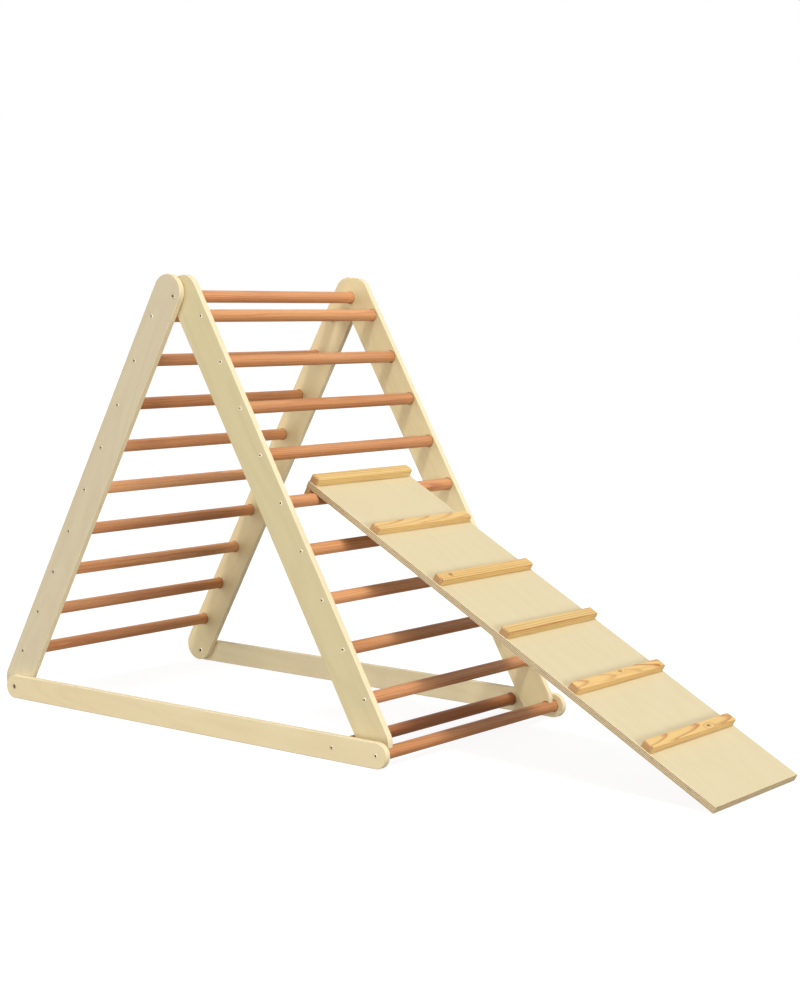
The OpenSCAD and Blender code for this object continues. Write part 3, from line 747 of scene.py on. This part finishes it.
def rung_piece(name, x, z, half, body, node):
    """A turned dowel with eased ends, which sit in the sockets."""
    # the dowel's tone; on the rungs under the ramp it is painted light and shade
    tone = DOWEL_TONES_PAINTED_LIGHT_SHADE["palest" if node in PALEST else "pale" if node in PALE else "dark" if node in DARK else "darkest_painted_shade" if node in RAMP_SHADE_DARKEST else "mid"]
    b = Builder()
    seg = 72
    turn = SEEDS.uniform(0, TAU)
    prof = [(-half, RUNG_R - 1.0), (-half + 1.0, RUNG_R)] + [(-half + 1.0 + (2 * half - 2.0) * k / 8, RUNG_R) for k in range(1, 8)] + [(half - 1.0, RUNG_R), (half, RUNG_R - 1.0)]

    def gco(y, r, a):
        return (y * MM, r * math.cos(a + turn) * MM, r * math.sin(a + turn) * MM)

    rings = []
    for y, r in prof:
        rings.append([b.vert(Vector((X0 + x + r * math.cos(TAU * k / seg), y, z + r * math.sin(TAU * k / seg))) * MM, gco(y, r, TAU * k / seg)) for k in range(seg)])
    for k in range(len(rings) - 1):
        for i in range(seg):
            b.face((rings[k][i], rings[k][(i + 1) % seg], rings[k + 1][(i + 1) % seg], rings[k + 1][i]), 0)
    for ids, y in ((rings[0], -half), (rings[-1], half)):
        c = b.vert(Vector((X0 + x, y, z)) * MM, gco(y, 0, 0))
        for i in range(seg):
            b.face((ids[i], ids[(i + 1) % seg], c), 1)
    way, far = SEEDS.uniform(0, TAU), SEEDS.uniform(0.018, 0.07)
    me = b.mesh(name, seed_value(), tone=tone, pith=(far * math.cos(way), far * math.sin(way), SEEDS.uniform(-0.02, 0.02)))
    return weighted(new_object(name, me, body, [node], [M_DOWEL, M_DOWEL_END]))


for i, (u, v) in enumerate(rung_points(-1)):
    rung_piece("rear_rung_%d_dowel" % (i + 1), lx(-1, u, v), lz(-1, u, v), REAR_IN + SOCKET - 0.1, "rear_ladder", "rear_rung_%d" % (i + 1))
for i, (u, v) in enumerate(rung_points(1)):
    rung_piece("front_rung_%d_dowel" % (i + 1), lx(1, u, v), lz(1, u, v), FRONT_IN + SOCKET - 0.1, "front_ladder", "front_rung_%d" % (i + 1))
rung_piece("apex_rung_dowel", 0, APEX_H, FRONT_IN + SOCKET - 0.1, "front_ladder", "apex_rung")
rung_piece("base_rung_front_dowel", FX, BASE_H / 2, BASE_IN + SOCKET - 0.1, "base_frame", "base_rung_front")
rung_piece("base_rung_inner_dowel", DX, BASE_H / 2, BASE_IN + SOCKET - 0.1, "base_frame", "base_rung_inner")


def socket_fastener(b, x, z, sign, face, head_r, head_t, shank_r, tip, hex_d, hex_deep, turn):
    """A round head with an eased rim and a hexagon socket. face and tip are distances from the middle plane;
    the head's top is at face, and the shank runs to tip. sign is the side, and way the head looks."""
    way = 1 if face > tip else -1
    seg = 48

    def at(r, a, d):
        return Vector((X0 + x + r * math.cos(a), sign * d, z + r * math.sin(a))) * MM

    def ring(r, d, count=seg, t=0.0):
        return [b.vert(at(r, TAU * k / count + t, d)) for k in range(count)]

    def join(p, q, mat):
        c = len(p)
        for k in range(c):
            b.face((p[k], p[(k + 1) % c], q[(k + 1) % c], q[k]), mat)

    tip_ring = ring(shank_r * 0.55, tip)
    seq = [tip_ring, ring(shank_r, tip + way * shank_r * 0.6), ring(shank_r, face - way * head_t), ring(head_r - 0.15, face - way * head_t),
           ring(head_r, face - way * (head_t - 0.2)), ring(head_r, face - way * 0.45), ring(head_r - 0.13, face - way * 0.16), ring(head_r - 0.45, face)]
    for p, q in zip(seq, seq[1:]):
        join(p, q, 0)
    c = b.vert(at(0, 0, tip))
    for k in range(seg):
        b.face((tip_ring[k], tip_ring[(k + 1) % seg], c), 0)
    hr = hex_d / 2
    rim = ring(hr + 0.22, face, 6, turn)
    lip = ring(hr, face - way * 0.22, 6, turn)
    deep = ring(hr, face - way * hex_deep, 6, turn)
    flat = [[Vector(((head_r - 0.45) * math.cos(TAU * k / seg), (head_r - 0.45) * math.sin(TAU * k / seg), 0)) for k in range(seg)],
            [Vector(((hr + 0.22) * math.cos(TAU * k / 6 + turn), (hr + 0.22) * math.sin(TAU * k / 6 + turn), 0)) for k in range(6)]]
    ids = seq[-1] + rim
    for t in tessellate_polygon(flat):
        b.face(tuple(ids[i] for i in t), 0)
    join(rim, lip, 0)
    # the socket's walls and floor take the second material: painted shade in the recess
    join(lip, deep, 1)
    c = b.vert(at(0, 0, face - way * (hex_deep + hr * 0.25)))
    for k in range(6):
        b.face((deep[k], deep[(k + 1) % 6], c), 1)


def fasteners(name, spots, body, node, shell=None):
    b = Builder()
    for spot in spots:
        socket_fastener(b, *spot, SEEDS.uniform(0, TAU / 6))
    me = b.mesh(name, seed_value(), 32.0)
    return weighted(new_object(name, me, body, [node], [shell, M_BOLT_SOCKET_SHADE] if shell else [M_STEEL, M_HEX_SOCKET_SHADE]))


def screw_spots(points, out):
    return [(x, z, s, out - 0.1, 5.0, 2.9, 2.5, out - 50, 4.8, 2.2) for s in (-1, 1) for x, z in points]


fasteners("rear_rung_screw_set", screw_spots([(lx(-1, u, v), lz(-1, u, v)) for u, v in rung_points(-1)], REAR_OUT), "rear_ladder", "rear_rung_screws")
fasteners("front_rung_screw_set", screw_spots([(lx(1, u, v), lz(1, u, v)) for u, v in rung_points(1)], FRONT_OUT), "front_ladder", "front_rung_screws")
fasteners("base_rung_screw_set", screw_spots([(FX, BASE_H / 2), (DX, BASE_H / 2)], BASE_OUT), "base_frame", "base_rung_screws")
fasteners("apex_bolt_set", [(0, APEX_H, s, REAR_OUT - 0.1, 6.2, 3.1, 4.0, FRONT_IN - 42, 6.9, 2.5) for s in (-1, 1)], "front_ladder", "apex_bolts", M_BOLT)
fasteners("base_pivot_bolt_set", [(BX, BASE_H / 2, s, BASE_OUT - 0.1, 6.2, 3.1, 4.0, BASE_IN - 2, 7.4, 2.5) for s in (-1, 1)], "base_frame", "base_pivot_bolts", M_BOLT)
fasteners("base_pivot_nut_set", [(BX, BASE_H / 2, s, REAR_IN + 0.1, 6.2, 3.1, 4.0, BASE_IN - 2.2, 7.4, 2.5) for s in (-1, 1)], "base_frame", "base_pivot_nuts")

# pieces whose construction mesh already has the right shape
for node, mat in (("apex_washers", M_NYLON), ("base_pivot_washers", M_NYLON), ("ramp_cleat_screws", M_STEEL), ("ramp_hook_screws", M_STEEL)):
    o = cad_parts[node]
    if not o.material_slots:
        o.data.materials.append(mat)
    for sl in o.material_slots:
        sl.material = mat

# ------------------------------------------------------------ floor, lights
# A white floor that glows almost to white by itself, so shadows on it stay faint, inside a tall white
# backdrop ring. Neither throws light on the wood: the sky gradient stands in for the studio's walls.
def stage_piece(name, verts, faces, glow, grey):
    m = Nodes(name)
    m.finish((grey, grey, grey), 0.9, None, Specular_IOR_Level=0.0, Emission_Color=(1.0, 1.0, 1.0, 1.0), Emission_Strength=glow)
    me = bpy.data.meshes.new(name)
    me.from_pydata(verts, [], faces)
    me.materials.append(m.mat)
    o = bpy.data.objects.new(name, me)
    bpy.context.scene.collection.objects.link(o)
    o.visible_diffuse = False
    o.visible_glossy = False
    o.visible_shadow = False
    o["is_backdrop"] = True
    return o


floor = stage_piece("floor", [(-60, -60, -0.0004), (60, -60, -0.0004), (60, 60, -0.0004), (-60, 60, -0.0004)], [(0, 1, 2, 3)], 0.90, 0.16)
N = 96
wall = stage_piece("backdrop", [(28 * math.cos(TAU * i / N), 28 * math.sin(TAU * i / N), z) for z in (-0.1, 40.0) for i in range(N)],
                   [(i, (i + 1) % N, N + (i + 1) % N, N + i) for i in range(N)], 1.0, 0.0)

world = bpy.data.worlds.new("studio")
bpy.context.scene.world = world
world.use_nodes = True
wt = world.node_tree
sky = wt.nodes["Background"]
way = wt.nodes.new("ShaderNodeTexCoord")
sep = wt.nodes.new("ShaderNodeSeparateXYZ")
ramp = wt.nodes.new("ShaderNodeValToRGB")
half = wt.nodes.new("ShaderNodeMapRange")
wt.links.new(way.outputs["Generated"], sep.inputs[0])
wt.links.new(sep.outputs[2], half.inputs[0])
half.inputs[1].default_value, half.inputs[2].default_value = -1.0, 1.0
wt.links.new(half.outputs[0], ramp.inputs[0])
ramp.color_ramp.elements[0].position, ramp.color_ramp.elements[0].color = 0.30, (0.24, 0.21, 0.18, 1)
ramp.color_ramp.elements[1].position, ramp.color_ramp.elements[1].color = 0.60, (0.44, 0.44, 0.43, 1)
wt.links.new(ramp.outputs[0], sky.inputs[0])
sky.inputs[1].default_value = 1.0


def softbox(name, towards, strength, angle, colour=(1, 1, 1), gloss=True):
    """A large soft source far off in the given direction; strength is what it adds to a facing surface.
    Without gloss it isn't mirrored, so it leaves no glare on a face seen at a grazing angle."""
    data = bpy.data.lights.new(name, "SUN")
    data.energy = strength * math.pi
    data.angle = math.radians(angle)
    data.color = colour
    o = bpy.data.objects.new(name, data)
    o.rotation_mode = "QUATERNION"
    o.rotation_quaternion = (-Vector(towards)).to_track_quat("-Z", "Y")
    if not gloss:
        data.specular_factor = 0.0
        o.visible_glossy = False
    bpy.context.scene.collection.objects.link(o)
    return o


softbox("key_above", (0.32, -0.27, 0.90), 0.64, 12)
softbox("right", (0.95, -0.20, 0.07), 0.52, 20)
softbox("front_fill", (-0.35, -0.93, 0.05), 0.30, 40)
# the far side and the rear get the same soft light, for views from there
softbox("back_fill", (0.10, 0.98, 0.12), 0.42, 40, gloss=False)
softbox("left_fill", (-0.95, 0.22, 0.12), 0.36, 40, gloss=False)

scene = bpy.context.scene
scene.view_settings.view_transform = "Standard"
scene.view_settings.look = "None"
scene.view_settings.exposure = 0.0
scene.view_settings.gamma = 1.0

lo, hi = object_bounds()
